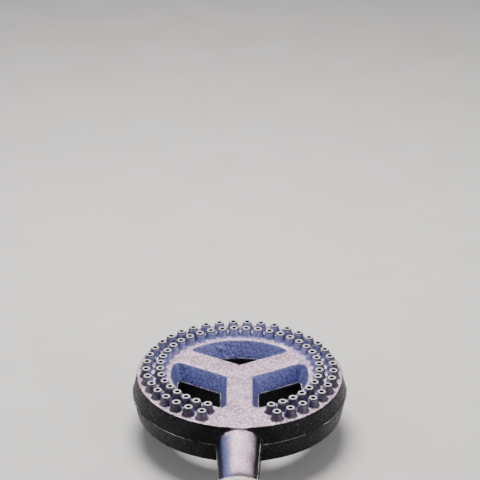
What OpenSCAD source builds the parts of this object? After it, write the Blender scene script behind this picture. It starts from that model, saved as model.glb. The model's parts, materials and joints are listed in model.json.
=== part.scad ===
// Gas ring burner: a cast head with two rows of jets on a ring with three spokes, its
// mixing tube, and the air shutter, injector and gas cock that feed it.
// Millimetres, +Z up. The mixing tube runs towards -Y. The origin is on the floor,
// under the middle of the whole burner.

/* [Ring head] */
// Diameter of the flat top face
top_d = 132.2; // [124:0.2:144]
// Width of the ring, from its outer edge to the windows
ring_w = 22; // [20.5:0.1:25]
// Height of the casting from its underside to the flat top
head_h = 25.4; // [23:0.2:29]
// How far the outer wall leans out between the top and the parting line
edge_flare = 2.6; // [1:0.1:4]
// Depth of the parting line below the top
part_depth = 12; // [9:0.5:14]
// Thickness of the top wall that carries the jets
deck_t = 4.6; // [3.5:0.1:6]
// Thickness of the side walls of the spokes
wall = 4; // [3:0.1:4.8]
// Room in the gas channel beside the tips of each row
channel_room = 0.4; // [0.3:0.1:1]
// Size of the broken corner round the underside
under_edge = 1.6; // [0.5:0.1:2.2]

/* [Spokes and windows] */
// Width of the front spoke at the top
front_spoke_w = 16.6; // [14:0.2:20]
// Width of each rear spoke at the top
rear_spoke_w = 17.2; // [14:0.2:20]
// How far the rear spokes sit behind lines through the middle
rear_spoke_shift = 0.8; // [0:0.1:1.5]
// Angle of the rear spokes from the X axis
rear_spoke_angle = 30; // [24:1:36]
// Lean of the window walls above the parting line
window_draft = 3.8; // [0.5:0.1:4.5]
// Lean of the window walls below the parting line
window_under_draft = 3.4; // [0.5:0.1:4]
// Fillet in the outer corners of the two front windows
front_fillet = 3.5; // [2.5:0.1:5]
// Fillet in the outer corners of the rear window
rear_fillet = 2.6; // [2.4:0.1:4]
// Fillet in the corner of each window at the middle of the head
hub_fillet = 2.4; // [2.3:0.1:4]

/* [Jets] */
// Jets in each row
jets_per_row = 36; // [34:2:38]
// Angle from one jet to the next
jet_pitch = 9; // [8.8:0.1:9.2]
// Distance of the outer row from the edge of the top
outer_row_inset = 6.1; // [5.8:0.1:6.4]
// Distance between the two rows
row_gap = 8.9; // [8.4:0.1:9.1]
// Height of each jet above the flat top
jet_h = 5.5; // [4:0.1:8]
// Diameter of the cast boss at its foot
boss_base_d = 7.7; // [6.5:0.1:7.9]
// Diameter of the cast boss where the tip sits on it
boss_top_d = 5.7; // [5.4:0.1:6.2]
// Diameter of the turned rim of each tip
rim_d = 5.3; // [5:0.1:5.6]
// Height of the turned rim above its boss
rim_h = 0.7; // [0.4:0.1:1.2]
// Diameter of the tip's shank, pressed into the deck
tip_d = 4.2; // [3.8:0.1:4.6]
// Diameter of the gas port through each tip
port_d = 2.9; // [2:0.1:3.4]

/* [Bottom cover] */
// Thickness of the cover plate
cover_t = 3; // [2:0.1:4]
// Thickness of the gasket above the cover
gasket_t = 0.8; // [0.5:0.1:1.5]
// Width of the rim of casting that stays round the cover
cover_lip = 2.7; // [2.2:0.1:3.2]
// Play round the edge of the cover
cover_play = 0.15; // [0.1:0.05:0.4]
// How far the cover sits inside the underside
cover_inset = 0.2; // [0:0.1:0.6]
// Diameter of the cover and stand screws
screw_d = 4; // [3:0.1:4.4]
// Length of the cover screws under the head
cover_screw_l = 12; // [9:0.5:15]
// Diameter of the bosses that take the cover screws
screw_boss_d = 7; // [6.4:0.1:7.8]

/* [Mixing tube] */
// Outside diameter of the tube where it leaves the ring
tube_d = 28.1; // [26:0.1:28.2]
// Depth of the tube's axis below the flat top
tube_axis_depth = 14.2; // [14.1:0.1:15]
// Length of the tube from the ring to its throat
tube_l = 46; // [36:1:60]
// Outside diameter of the throat
throat_d = 23; // [21.5:0.1:25]
// Thickness of the tube's wall
tube_wall = 3.2; // [2.5:0.1:4]
// Length of the bell from the throat to its flange
bell_l = 21; // [18:0.5:26]
// Diameter of the flange at the mouth of the bell
flange_d = 48; // [47:0.2:54]
// Thickness of the flange
flange_t = 4; // [3.5:0.1:7]
// Clear diameter of the bell's mouth
mouth_d = 37; // [34:0.2:37.6]
// Gap between the flange and the floor
floor_gap = 3.2; // [2.6:0.1:8]

/* [Air shutter] */
// Thickness of the fixed air plate on the bell
plate_t = 3; // [2.5:0.1:5]
// Number of air windows
air_windows = 3; // [3:1:3]
// Angle that each air window spans
air_angle = 56; // [40:1:57]
// Inside diameter of the ring of air windows
air_in_d = 18.4; // [18:0.1:20]
// Outside diameter of the ring of air windows
air_out_d = 33; // [27:0.2:33.4]
// Diameter of the shutter disc
shutter_d = 35.8; // [34:0.1:36]
// Thickness of the shutter disc
shutter_t = 1.5; // [1:0.1:2]
// Running gap on each flat side of the shutter
shutter_gap = 0.15; // [0.1:0.05:0.3]
// Diameter of the boss that the shutter turns on
pivot_d = 16; // [15:0.1:16.6]
// Radial play of the shutter on its boss
pivot_play = 0.08; // [0.02:0.01:0.1]
// Angle of the shutter's tab when the air is fully open
tab_angle = -6; // [-6:1:0]
// Width of the finger tab
tab_w = 8; // [6:0.2:9]
// How far the finger tab reaches past the flange
tab_out = 5; // [3:0.2:9]
// Thickness of the spring washer's wire strip
spring_washer_t = 0.6; // [0.4:0.1:0.9]
// Height of the spring washer as fitted
spring_washer_h = 1.5; // [1.2:0.1:2.2]
// Diameter of the screws that hold the air plate
plate_screw_d = 3; // [2.5:0.1:3.2]
// Head diameter of the lock screw
lock_head_d = 10; // [9.6:0.2:12]
// Head height of the lock screw
lock_head_h = 7; // [5:0.5:10]

/* [Injector] */
// Diameter of the cock's shank through the air plate
shank_d = 12; // [11:0.1:12.4]
// Width across the flats of the nut inside the bell
nut_af = 15; // [14:0.2:15.6]
// Thickness of the nut inside the bell
nut_t = 5; // [4:0.2:6]
// Diameter of the injector's threaded stem
injector_stem_d = 8; // [7:0.1:8.4]
// Width across the flats of the injector
injector_af = 10; // [9.6:0.2:11]
// Length of the injector's nose
nose_l = 5; // [3:0.5:7]
// Diameter of the gas orifice
orifice_d = 1.2; // [0.8:0.1:2]

/* [Gas cock] */
// Height of the barrel round the plug
barrel_h = 26; // [24:0.5:30]
// Outside diameter of the barrel
barrel_d = 21; // [20:0.5:24]
// Distance from the washer on the boss to the plug's axis
cock_front_l = 17; // [16.5:0.5:22]
// Distance from the plug's axis to the inlet end
cock_back_l = 17; // [16.5:0.5:22]
// Width across the flats of the cock's two hexagons
cock_af = 20; // [19:0.5:21]
// Thickness of the cock's two hexagons
cock_hex_t = 5; // [4:0.2:6]
// Outside diameter of the branches
branch_d = 15; // [14:0.2:18]
// Diameter of the gas way through the cock
gas_way_d = 5; // [3:0.1:6]
// Thickness of the fibre seal washers
seal_t = 1; // [0.6:0.1:2]
// Diameter of the taper plug at the top of the barrel
plug_top_d = 14.4; // [13:0.1:15]
// Diameter of the taper plug at the foot of the barrel
plug_foot_d = 12; // [11:0.1:12.6]
// Radial play of the plug in its barrel
plug_play = 0.04; // [0.02:0.01:0.08]
// Diameter of the threaded stub under the plug
stub_d = 5; // [4:0.1:6]
// Height of the coil spring as fitted
spring_h = 3.8; // [3.4:0.1:5]
// Diameter of the spring wire
spring_wire_d = 1; // [0.7:0.1:1.1]
// Turns of the coil spring
spring_turns = 3; // [2:1:3]
// Thickness of the nut under the plug
stub_nut_t = 3.6; // [3:0.1:4.4]

/* [Lever] */
// Length of the lever from the plug's axis to its end
lever_l = 46; // [40:1:48]
// Width of the lever's flat arm
arm_w = 10; // [8:0.2:10.4]
// Thickness of the lever's flat arm
arm_t = 3.5; // [3:0.1:4]
// Diameter of the lever's hub
lever_hub_d = 18; // [16:0.2:20]
// Height of the lever's hub
lever_hub_h = 6; // [5.6:0.1:8]
// Gap between the hub and the barrel
lever_gap = 0.4; // [0.3:0.1:0.8]
// Diameter of the plug's stem in the lever
stem_d = 8; // [7:0.1:9]
// Diameter of the grip
grip_d = 13.2; // [12.4:0.1:13.8]
// Length of the grip
grip_l = 28; // [22:1:30]

/* [Hose barb] */
// Outside diameter over the barbs
barb_d = 11; // [9:0.1:12.5]
// Diameter of the bore through the barb
barb_bore_d = 6; // [4:0.1:7]
// Length of each barb
barb_pitch = 6; // [4.5:0.1:7]
// Number of barbs
barbs = 4; // [3:1:5]
// Width across the flats of the barb's hexagon
barb_af = 16; // [15:0.2:17]
// Thickness of the barb's hexagon
barb_hex_t = 5; // [4:0.2:7]
// Diameter of the barb's thread
barb_thread_d = 10; // [9:0.1:11]

/* [Feet and stand] */
// Diameter of the rear feet
foot_d = 12; // [10:0.2:16]
// Diameter of the stud on each rear foot
stud_d = 5; // [4:0.1:5.4]
// Diameter of the cast bosses that take the studs
stud_boss_d = 7.6; // [7.2:0.1:7.8]
// Length of the front stand along the tube
stand_l = 24; // [22:0.5:28]
// Thickness of the stand's steel strip
stand_t = 2.5; // [2:0.1:3]
// Height of the stand
stand_h = 12; // [11:0.1:12.6]
// Width of the stand's bridge
bridge_w = 40; // [30:1:50]
// Width of the stand over its feet
stand_w = 84; // [76:1:100]
// Width of each of the stand's flat feet
stand_foot_w = 10; // [7:0.5:12]

/* [Hidden] */
$fn = 96;

// Clearances between pieces that are screwed or pressed together.
press_play = 0.03;
thread_play = 0.05;
hole_play = 0.3;
cut = 0.5;               // how far a cutter passes through a face
plate_screw_l = 3.2;     // length of the air plate's screws inside the flange
lock_l = 3.4;            // length of the lock screw inside the flange
grip_over = 2.5;         // how far the grip covers the lever's end
stand_screw_gap = 14;    // distance between the stand's two screws
stand_screw_l = 7;       // length of the stand's screws under the head
stand_hole_d = 4.5;      // holes that fix the stand to a bench
stand_over = 3;          // how far the stand reaches past the throat
lug_w = 14;              // width of the lug that the stand is screwed to
lug_inset = 1;           // how far the lug stops short of each end of the stand
root_in = 16;            // how far the tube reaches into the head
root_web = 1.5;          // casting kept beside the tube where it enters the ring
notch_over = 0.6;        // how far the cover's notch passes the windows' circle
edge_draft = 2.4;        // how far the outer wall leans in below the parting line
least_fillet = 0.3;      // least fillet of a window's corner at the parting line
outline_h = 1;           // height of the cones that draw a window's outline

// Radii of the head.
top_r = top_d / 2;
edge_r = top_r + edge_flare;
window_r = top_r - ring_w;
outer_row_r = top_r - outer_row_inset;
inner_row_r = outer_row_r - row_gap;
channel_out_r = outer_row_r + tip_d / 2 + channel_room;
channel_in_r = inner_row_r - tip_d / 2 - channel_room;
screw_ring_r = (outer_row_r + inner_row_r) / 2;
first_jet = (360 - jet_pitch * (jets_per_row - 1)) / 2;

// Heights above the floor.
axis_z = floor_gap + flange_d / 2;
top_z = axis_z + tube_axis_depth;
under_z = top_z - head_h;
part_z = top_z - part_depth;
cover_z = under_z + cover_inset;
gasket_z = cover_z + cover_t;
seat_z = gasket_z + gasket_t;
deck_z = top_z - deck_t;
boss_h = jet_h - rim_h;

// Distances from the ring's axis along the tube, towards -Y.
root_s = top_r - root_in;
throat_s = top_r + tube_l;
flange_s = throat_s + bell_l;
plate_s = flange_s + flange_t;
shutter_s = plate_s + plate_t + shutter_gap;
washer_s = shutter_s + shutter_t + shutter_gap;
cock_s = washer_s + spring_washer_h + seal_t;
plug_s = cock_s + cock_front_l;
inlet_s = plug_s + cock_back_l;
barb_s = inlet_s + seal_t;
barb_end_s = barb_s + barb_hex_t + barbs * barb_pitch + 3;

// The whole burner reaches from the barb's end to the back of the parting line.
front_s = max(barb_end_s, plug_s + lever_l + grip_over);
frame_y = (front_s - edge_r) / 2;

// Bores of the mixing tube.
bore_root_r = tube_d / 2 - tube_wall - 0.7;
throat_r = throat_d / 2 - tube_wall;
mouth_r = mouth_d / 2;
plate_screw_r = (mouth_r + flange_d / 2) / 2;
stand_s = throat_s + stand_over - stand_l / 2;

// Rows of positions, counted in jets from the front, for screws and feet.
cover_screw_steps = [1.5, 8.5, 15.5];
foot_step = 10.5;

// Angles round the bell, anticlockwise from its right-hand side as seen from the front.
plate_screw_angles = [90, 210, 330];
lock_angle = 150;

// ---------- placing ----------

module place() translate([0, frame_y, 0]) children();

// Local +Z runs along the mixing tube towards -Y and local +Y is up.
module along_tube(s) place() translate([0, -s, axis_z]) rotate([90, 0, 0]) children();

// Angle from the front, -Y, anticlockwise from above.
function on_ring(r, angle) = [r * sin(angle), -r * cos(angle), 0];
function step_angle(step) = first_jet + step * jet_pitch;

module at_steps(steps, r) {
    for (step = steps, side = [1, -1])
        translate(on_ring(r, side * step_angle(step))) children();
}

module each_jet(r) {
    for (i = [0 : jets_per_row - 1]) translate(on_ring(r, step_angle(i))) children();
}

module on_flange(angle, s) {
    translate([0, -s, axis_z]) rotate([90, 0, 0]) rotate(angle)
        translate([plate_screw_r, 0, 0]) children();
}

module at_stand_screws(z) {
    for (along = [-0.5, 0.5])
        translate([0, -stand_s + along * stand_screw_gap, z]) children();
}

// ---------- shared shapes ----------

module ring(r_out, r_in, h) {
    difference() {
        cylinder(r = r_out, h = h);
        translate([0, 0, -cut]) cylinder(r = r_in, h = h + 2 * cut);
    }
}

module hexagon(af, h) cylinder(d = af / cos(30), h = h, $fn = 6);

// A pan-head screw with a cross slot: head under z = 0, shank above it.
module pan_screw(d, l) {
    head_r = 0.9 * d;
    head_h = 0.6 * d;
    difference() {
        union() {
            cylinder(d = d, h = l);
            translate([0, 0, -0.6 * head_h]) cylinder(r = head_r, h = 0.6 * head_h);
            translate([0, 0, -head_h])
                cylinder(r1 = 0.72 * head_r, r2 = head_r, h = 0.4 * head_h);
        }
        for (turn = [0, 90]) rotate(turn)
            translate([-0.6 * head_r, -0.1 * d, -head_h - cut])
                cube([1.2 * head_r, 0.2 * d, 0.55 * head_h + cut]);
    }
}

// ---------- ring head ----------

// Middle of a circle of radius f that touches two straight walls. The walls lie w1 and
// w2 from the rays at angles a1 and a2.
function corner(a1, a2, w1, w2, f) =
    let (n1 = [-sin(a1), cos(a1)], n2 = [sin(a2), -cos(a2)],
        det = n1[0] * n2[1] - n1[1] * n2[0], d1 = w1 + f, d2 = w2 + f)
    [(d1 * n2[1] - d2 * n1[1]) / det, (n1[0] * d2 - n2[0] * d1) / det, 0];

// The outline of a window between the spokes at a1 and a2, as the flat base of low cones.
// Its walls stand in by `inset` from the walls at the top, and f is its outer fillet there.
module window_outline(a1, a2, w1, w2, f, inset) {
    hub = max(hub_fillet - inset, least_fillet);
    outer = max(f - inset, least_fillet);
    reach = window_r - inset - outer;
    from = a1 + asin((w1 + inset + outer) / reach);
    to = a2 - asin((w2 + inset + outer) / reach);
    translate(corner(a1, a2, w1 + inset, w2 + inset, hub))
        cylinder(r1 = hub, r2 = 0, h = outline_h, $fn = 32);
    for (angle = [from, to]) rotate(angle) translate([reach, 0, 0])
        cylinder(r1 = outer, r2 = 0, h = outline_h, $fn = 32);
    rotate(from) rotate_extrude(angle = to - from)
        polygon([[reach, 0], [window_r - inset, 0], [reach, outline_h]]);
}

// One half of a window, as a cutter that starts at the parting line and leans out by
// `draft` over height h.
module window_half(a1, a2, w1, w2, f, h, draft) {
    full = h + cut;
    lean = draft * full / h;
    hull() {
        window_outline(a1, a2, w1, w2, f, window_draft);
        translate([0, 0, full]) mirror([0, 0, 1])
            window_outline(a1, a2, w1, w2, f, window_draft - lean);
    }
}

module window(a1, a2, w1, w2, f) {
    translate([0, 0, part_z]) window_half(a1, a2, w1, w2, f, part_depth, window_draft);
    translate([0, 0, part_z]) mirror([0, 0, 1])
        window_half(a1, a2, w1, w2, f, head_h - part_depth, window_under_draft);
}

module windows() {
    front_edge = rear_spoke_w / 2 - rear_spoke_shift;
    rear_edge = rear_spoke_w / 2 + rear_spoke_shift;
    for (side = [0, 1]) mirror([side, 0, 0])
        window(-90, rear_spoke_angle, front_spoke_w / 2, front_edge, front_fillet);
    window(rear_spoke_angle, 180 - rear_spoke_angle, rear_edge, rear_edge, rear_fillet);
}

// A straight bar from the middle outwards, between two edges at signed distances from the
// ray at `angle`.
module bar(angle, low, high, reach, h) {
    along = reach * [cos(angle), sin(angle)];
    across = [-sin(angle), cos(angle)];
    linear_extrude(h)
        polygon([low * across, low * across + along, high * across + along, high * across]);
}

// A ring from r_in to r_out and the three spokes, drawn in by `inset` from their walls,
// from z = 0 to h.
module y_ring(r_out, r_in, inset, h) {
    reach = (r_out + r_in) / 2;
    front = front_spoke_w / 2 - inset;
    rear = rear_spoke_w / 2 - inset;
    ring(r_out, r_in, h);
    bar(-90, -front, front, reach, h);
    bar(rear_spoke_angle, rear_spoke_shift - rear, rear_spoke_shift + rear, reach, h);
    bar(180 - rear_spoke_angle, -rear_spoke_shift - rear, -rear_spoke_shift + rear, reach, h);
}

// Room for the cover. Where the tube enters, the casting closes the ring from below.
module cover_room(play, h) {
    root_half = tube_d / 2 + root_web + play;
    difference() {
        y_ring(top_r - cover_lip - play, window_r + cover_lip + play, cover_lip + play, h);
        translate([-root_half, -edge_r, -cut])
            cube([2 * root_half, edge_r - window_r + notch_over + play, h + 2 * cut]);
    }
}

module head_disc() {
    under_r = edge_r - edge_draft;
    rotate_extrude() polygon([[0, under_z], [under_r - under_edge, under_z],
        [under_r - 0.3 * under_edge, under_z + 0.3 * under_edge],
        [under_r, under_z + under_edge], [edge_r, part_z], [top_r, top_z], [0, top_z]]);
}

// Outline of the bell: t runs from 0 at the throat to 90 degrees at the flange.
function bell_point(t, r, grow) =
    [r + grow * (1 - cos(t)), throat_s + bell_l * sin(t)];

module mixing_tube() {
    grow = mouth_r + tube_wall - throat_d / 2;
    translate([0, 0, axis_z]) rotate([90, 0, 0]) rotate_extrude()
        polygon(concat([[0, root_s], [tube_d / 2, root_s], [tube_d / 2, top_r]],
            [for (t = [0 : 10 : 90]) bell_point(t, throat_d / 2, grow)],
            [[flange_d / 2, flange_s], [flange_d / 2, plate_s], [0, plate_s]]));
}

module mixing_bore() {
    translate([0, 0, axis_z]) rotate([90, 0, 0]) rotate_extrude()
        polygon(concat([[0, root_s], [bore_root_r, root_s], [bore_root_r, top_r]],
            [for (t = [0 : 10 : 80]) bell_point(t, throat_r, mouth_r - throat_r)],
            [[mouth_r, flange_s], [mouth_r, plate_s + cut], [0, plate_s + cut]]));
}

// Flat lug under the throat that the front stand is screwed to.
module stand_lug() {
    l = stand_l - 2 * lug_inset;
    translate([-lug_w / 2, -stand_s - l / 2, stand_h]) cube([lug_w, l, axis_z - stand_h]);
}

module gas_channel() {
    translate([0, 0, seat_z - cut])
        y_ring(channel_out_r, channel_in_r, wall, deck_z - seat_z + cut);
    translate([0, 0, under_z - cut]) cover_room(0, seat_z - under_z + cut);
}

module screw_bosses() {
    h = deck_z - seat_z + cut;
    translate([0, 0, seat_z]) {
        at_steps(cover_screw_steps, screw_ring_r) cylinder(d = screw_boss_d, h = h);
        at_steps([foot_step], screw_ring_r) cylinder(d = stud_boss_d, h = h);
    }
}

module jet_bosses() {
    for (r = [outer_row_r, inner_row_r]) translate([0, 0, top_z - cut]) each_jet(r) {
        cylinder(d = boss_base_d, h = cut);
        translate([0, 0, cut]) cylinder(d1 = boss_base_d, d2 = boss_top_d, h = boss_h);
    }
}

module tip_holes() {
    for (r = [outer_row_r, inner_row_r]) translate([0, 0, deck_z - cut]) each_jet(r)
        cylinder(d = tip_d + 2 * press_play, h = deck_t + jet_h);
}

module burner_head() {
    color("#9a9492") place() difference() {
        union() {
            difference() {
                union() {
                    difference() {
                        head_disc();
                        windows();
                    }
                    mixing_tube();
                    stand_lug();
                    jet_bosses();
                }
                gas_channel();
                mixing_bore();
                tip_holes();
            }
            screw_bosses();
        }
        translate([0, 0, seat_z - cut]) {
            at_steps(cover_screw_steps, screw_ring_r)
                cylinder(d = screw_d + 2 * thread_play, h = cover_screw_l);
            at_steps([foot_step], screw_ring_r)
                cylinder(d = stud_d + 2 * thread_play, h = cover_screw_l);
        }
        at_stand_screws(stand_h - cut)
            cylinder(d = screw_d + 2 * thread_play, h = stand_screw_l - stand_t + 1);
        for (angle = plate_screw_angles)
            on_flange(angle, plate_s - plate_screw_l)
                cylinder(d = plate_screw_d + 2 * thread_play, h = plate_screw_l + cut);
        on_flange(lock_angle, plate_s - lock_l)
            cylinder(d = screw_d + 2 * thread_play, h = lock_l + cut);
    }
}

// A turned tip: rim on top of its boss, shank pressed through the deck, port up its middle.
module jet_tip() {
    port_r = port_d / 2;
    bevel = 0.2;
    rotate_extrude() polygon([[port_r, -deck_t], [tip_d / 2, -deck_t], [tip_d / 2, boss_h],
        [rim_d / 2, boss_h], [rim_d / 2, jet_h - bevel], [rim_d / 2 - bevel, jet_h],
        [port_r + bevel, jet_h], [port_r, jet_h - bevel]]);
}

module outer_jets() {
    color("#d8d2cc") place() translate([0, 0, top_z]) each_jet(outer_row_r) jet_tip();
}

module inner_jets() {
    color("#d8d2cc") place() translate([0, 0, top_z]) each_jet(inner_row_r) jet_tip();
}

// ---------- bottom cover ----------

module cover_sheet(z, t) {
    place() translate([0, 0, z]) difference() {
        cover_room(cover_play, t);
        translate([0, 0, -cut]) {
            at_steps(cover_screw_steps, screw_ring_r)
                cylinder(d = screw_d + 2 * hole_play, h = t + 2 * cut);
            at_steps([foot_step], screw_ring_r)
                cylinder(d = stud_d + 2 * hole_play, h = t + 2 * cut);
        }
    }
}

module cover_gasket() color("#4d4a47") cover_sheet(gasket_z, gasket_t);

module bottom_cover() color("#8d8a87") cover_sheet(cover_z, cover_t);

module cover_screws() {
    color("#b9b9b6") place() translate([0, 0, cover_z])
        at_steps(cover_screw_steps, screw_ring_r) pan_screw(screw_d, cover_screw_l);
}

// ---------- feet and stand ----------

module rear_feet() {
    pad_h = 0.4 * cover_z;
    color("#a9a9a6") place() at_steps([foot_step], screw_ring_r) {
        rotate_extrude() polygon([[0, 0], [foot_d / 2 - 1, 0], [foot_d / 2, 1],
            [foot_d / 2, pad_h - 0.5], [foot_d / 2 - 0.5, pad_h], [0, pad_h]]);
        translate([0, 0, pad_h]) hexagon(0.82 * foot_d, cover_z - pad_h);
        translate([0, 0, cover_z]) cylinder(d = stud_d, h = cover_screw_l);
    }
}

module stand_profile() {
    in_w = bridge_w / 2;
    out_w = stand_w / 2 - stand_foot_w;
    rise = stand_h - stand_t;
    leg_t = stand_t * sqrt(pow(out_w - in_w, 2) + pow(rise, 2)) / rise;
    half = [[in_w - leg_t + stand_t, rise], [out_w - leg_t + stand_t, 0],
        [stand_w / 2, 0], [stand_w / 2, stand_t], [out_w + stand_t, stand_t],
        [in_w + stand_t, stand_h]];
    polygon(concat(half, [for (i = [len(half) - 1 : -1 : 0]) [-half[i][0], half[i][1]]]));
}

module front_stand() {
    color("#8f9194") place() difference() {
        translate([0, -stand_s + stand_l / 2, 0]) rotate([90, 0, 0])
            linear_extrude(stand_l) stand_profile();
        at_stand_screws(stand_h - stand_t - cut)
            cylinder(d = screw_d + 2 * hole_play, h = stand_t + 2 * cut);
        for (side = [-1, 1])
            translate([side * (stand_w - stand_foot_w) / 2, -stand_s, -cut])
                cylinder(d = stand_hole_d, h = stand_t + 2 * cut);
    }
}

module stand_screws() {
    color("#b9b9b6") place() at_stand_screws(stand_h - stand_t)
        pan_screw(screw_d, stand_screw_l);
}

// ---------- air plate and shutter ----------

// Cutter for the ring of air windows, from local z = 0 up.
module air_cutter(h) {
    for (i = [0 : air_windows - 1])
        rotate(90 + i * 360 / air_windows - air_angle / 2) rotate_extrude(angle = air_angle)
            translate([air_in_d / 2, 0]) square([(air_out_d - air_in_d) / 2, h]);
}

module air_plate() {
    pivot_h = cock_s - seal_t - plate_s;
    color("#96938f") difference() {
        along_tube(plate_s) difference() {
            union() {
                cylinder(d = flange_d, h = plate_t);
                cylinder(d = pivot_d, h = pivot_h);
            }
            translate([0, 0, -cut]) {
                air_cutter(plate_t + 2 * cut);
                cylinder(d = shank_d + 2 * press_play, h = pivot_h + 2 * cut);
            }
        }
        place() {
            for (angle = plate_screw_angles) on_flange(angle, plate_s - cut)
                cylinder(d = plate_screw_d + 2 * hole_play, h = plate_t + 2 * cut);
            on_flange(lock_angle, plate_s - cut)
                cylinder(d = screw_d + 2 * thread_play, h = plate_t + 2 * cut);
        }
    }
}

module air_plate_screws() {
    color("#b9b9b6") place() for (angle = plate_screw_angles)
        on_flange(angle, plate_s + plate_t) mirror([0, 0, 1])
            pan_screw(plate_screw_d, plate_t + plate_screw_l - 0.2);
}

module air_shutter() {
    reach = flange_d / 2 + tab_out;
    lip_t = shutter_t;
    color("#a7a8a9") along_tube(shutter_s) difference() {
        union() {
            cylinder(d = shutter_d, h = shutter_t);
            rotate(tab_angle) translate([shutter_d / 2 - 3, -tab_w / 2, 0]) {
                cube([reach - shutter_d / 2 + 3, tab_w, shutter_t]);
                translate([reach - shutter_d / 2 + 3 - lip_t, 0, 0])
                    cube([lip_t, tab_w, 0.75 * tab_w]);
            }
        }
        translate([0, 0, -cut]) {
            air_cutter(shutter_t + 2 * cut);
            cylinder(d = pivot_d + 2 * pivot_play, h = shutter_t + 2 * cut);
        }
    }
}

module shutter_spring() {
    in_r = pivot_d / 2 + 0.2;
    out_r = in_r + 2;
    color("#c2c2bf") along_tube(washer_s) rotate_extrude()
        polygon([[out_r, 0], [out_r, spring_washer_t],
            [in_r, spring_washer_h], [in_r, spring_washer_h - spring_washer_t]]);
}

module lock_screw() {
    head_r = lock_head_d / 2;
    grip_cuts = 16;
    color("#b98f4a") place() on_flange(lock_angle, washer_s) difference() {
        union() {
            rotate_extrude() polygon([[0, 0], [head_r - 0.6, 0], [head_r, 0.6],
                [head_r, lock_head_h - 0.8], [head_r - 0.8, lock_head_h],
                [0, lock_head_h]]);
            l = washer_s - plate_s + lock_l - 0.2;
            translate([0, 0, -l]) cylinder(d = screw_d, h = l + cut);
        }
        for (i = [0 : grip_cuts - 1]) rotate(i * 360 / grip_cuts)
            translate([head_r + 0.3, 0, 1.6]) cylinder(r = 0.7, h = lock_head_h, $fn = 24);
    }
}

// ---------- injector ----------

shank_end_s = plate_s - nut_t - 3;
injector_hex_t = 3.5;
injector_stem_l = 7;

module injector() {
    nose_s = shank_end_s - injector_hex_t - nose_l;
    stem_r = injector_stem_d / 2;
    color("#c9a35a") along_tube(0) difference() {
        union() {
            translate([0, 0, shank_end_s - injector_hex_t])
                hexagon(injector_af, injector_hex_t);
            rotate_extrude() polygon([[0, nose_s], [2.2, nose_s], [3.6, nose_s + nose_l],
                [stem_r, shank_end_s - 0.5], [stem_r, shank_end_s + injector_stem_l],
                [0, shank_end_s + injector_stem_l]]);
        }
        translate([0, 0, nose_s - cut]) cylinder(d = orifice_d, h = nose_l + 8);
        translate([0, 0, nose_s + 3])
            cylinder(d = injector_stem_d / 2, h = nose_l + injector_hex_t + 8);
    }
}

module injector_nut() {
    color("#c9a35a") along_tube(plate_s - nut_t) difference() {
        hexagon(nut_af, nut_t);
        translate([0, 0, -cut]) cylinder(d = shank_d + 2 * press_play, h = nut_t + 2 * cut);
    }
}

// ---------- gas cock ----------

barrel_z = axis_z - barrel_h / 2;
seal_r = cock_af / 2 - 0.5;
barb_thread_l = 9;

module seal(s, hole_d) {
    along_tube(s) ring(seal_r, hole_d / 2 + 0.1, seal_t);
}

module outlet_seal() color("#7a4a3a") seal(cock_s - seal_t, shank_d);

module inlet_seal() color("#7a4a3a") seal(inlet_s, barb_thread_d);

// The taper of plug and barrel; `play` widens it and `over` runs it past both ends.
module taper(play, over) {
    slope = (plug_top_d - plug_foot_d) / 2 / barrel_h;
    translate([0, -plug_s, barrel_z - over])
        cylinder(r1 = plug_foot_d / 2 + play - slope * over,
            r2 = plug_top_d / 2 + play + slope * over, h = barrel_h + 2 * over);
}

module cock_body() {
    color("#c29b50") difference() {
        union() {
            along_tube(shank_end_s) cylinder(d = shank_d, h = cock_s - shank_end_s + 1);
            along_tube(cock_s) hexagon(cock_af, cock_hex_t);
            along_tube(cock_s) cylinder(d = branch_d, h = inlet_s - cock_s);
            along_tube(inlet_s - cock_hex_t) hexagon(cock_af, cock_hex_t);
            place() translate([0, -plug_s, barrel_z]) cylinder(d = barrel_d, h = barrel_h);
        }
        along_tube(shank_end_s - cut) cylinder(d = gas_way_d, h = inlet_s - shank_end_s);
        along_tube(shank_end_s - cut)
            cylinder(d = injector_stem_d + 2 * press_play, h = injector_stem_l + 2 * cut);
        along_tube(inlet_s - barb_thread_l)
            cylinder(d = barb_thread_d + 2 * press_play, h = barb_thread_l + cut);
        place() taper(plug_play, cut);
    }
}

lever_z = barrel_z + barrel_h + lever_gap;
lever_top_z = lever_z + lever_hub_h;
washer_t = 1.2;
washer_z = barrel_z - plug_play - 0.1 - washer_t;
stub_nut_z = washer_z - spring_h - stub_nut_t;
lever_screw_d = 5;
lever_screw_l = 7;

module cock_plug() {
    color("#b58d45") difference() {
        place() {
            taper(0, 0);
            translate([0, -plug_s, barrel_z + barrel_h - cut])
                cylinder(d = stem_d, h = lever_top_z - barrel_z - barrel_h + cut - 0.1);
            translate([0, -plug_s, stub_nut_z - 0.8])
                cylinder(d = stub_d, h = barrel_z - stub_nut_z + 0.8 + cut);
        }
        along_tube(plug_s - barrel_d) cylinder(d = gas_way_d, h = 2 * barrel_d);
        place() translate([0, -plug_s, lever_top_z - lever_screw_l - 1])
            cylinder(d = lever_screw_d + 2 * thread_play, h = lever_screw_l + 2);
    }
}

module plug_washer() {
    color("#c2c2bf") place() translate([0, -plug_s, washer_z])
        ring(plug_foot_d / 2 + 2, stub_d / 2 + press_play, washer_t);
}

module plug_nut() {
    color("#c29b50") place() translate([0, -plug_s, stub_nut_z]) difference() {
        hexagon(stub_d + 3, stub_nut_t);
        translate([0, 0, -cut]) cylinder(d = stub_d + 2 * press_play, h = stub_nut_t + 2 * cut);
    }
}

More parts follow.
